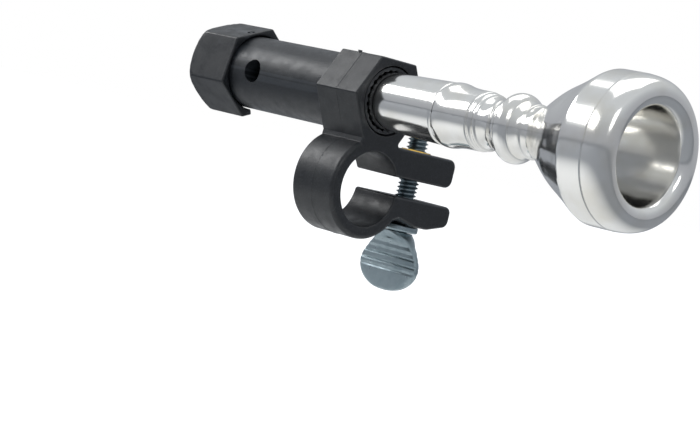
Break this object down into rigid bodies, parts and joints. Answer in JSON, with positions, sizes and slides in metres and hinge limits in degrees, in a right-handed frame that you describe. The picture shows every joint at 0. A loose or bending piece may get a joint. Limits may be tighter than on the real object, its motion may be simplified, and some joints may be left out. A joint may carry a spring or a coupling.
{
  "type": "clamp-on trumpet mouthpiece practice holder",
  "caption": "Tubular holder with a turning end cap that clamps beside a trumpet's leadpipe by a split ring and thumb screw, with a mouthpiece fitted in its socket.",
  "frame": {"origin": "centre of the clamp ring's bore, half way along the ring", "axes": "+X along the tube and the clamp bore, towards the player's end; +Y the way the clamp ears point; +Z from the clamp ring up to the tube"},
  "size_m": [0.1141, 0.0364, 0.0489],
  "materials": {
    "black_moulding": "semi-gloss moulded, fine scratches",
    "zinc_plate": "zinc plated, slightly blue",
    "brass_insert": "turned",
    "silver_plate": "polished silver plate",
    "seal_rubber": "moulded"
  },
  "bodies": {
    "holder": {"body_tube": "black_moulding", "clamp_bracket": "black_moulding", "threaded_insert": "brass_insert", "cap_o_ring": "seal_rubber"},
    "cap": {"resistance_cap": "black_moulding"},
    "washer": {"screw_washer": "zinc_plate"},
    "screw": {"thumb_screw": "zinc_plate"},
    "mouthpiece": {"mouthpiece": "silver_plate"}
  },
  "joints": [
    {"name": "cap_turn", "type": "hinge", "parent": "holder", "child": "cap", "pos_m": [-0.039, 0, 0.0169], "axis": [1, 0, 0], "continuous": true},
    {"name": "screw_travel", "type": "slide", "parent": "holder", "child": "washer", "axis": [0, 0, 1], "range_m": [-0.0059, 0]},
    {"name": "screw_turn", "type": "hinge", "parent": "washer", "child": "screw", "pos_m": [0, 0.0154, -0.0068], "axis": [0, 0, 1], "range_deg": [-2700, 0]},
    {"name": "mouthpiece_pull", "type": "slide", "parent": "holder", "child": "mouthpiece", "axis": [1, 0, 0], "range_m": [0, 0.04]}
  ],
  "couplings": [
    {"joint": "screw_turn", "follows": "screw_travel", "rad_per_m": 7913.3}
  ]
}
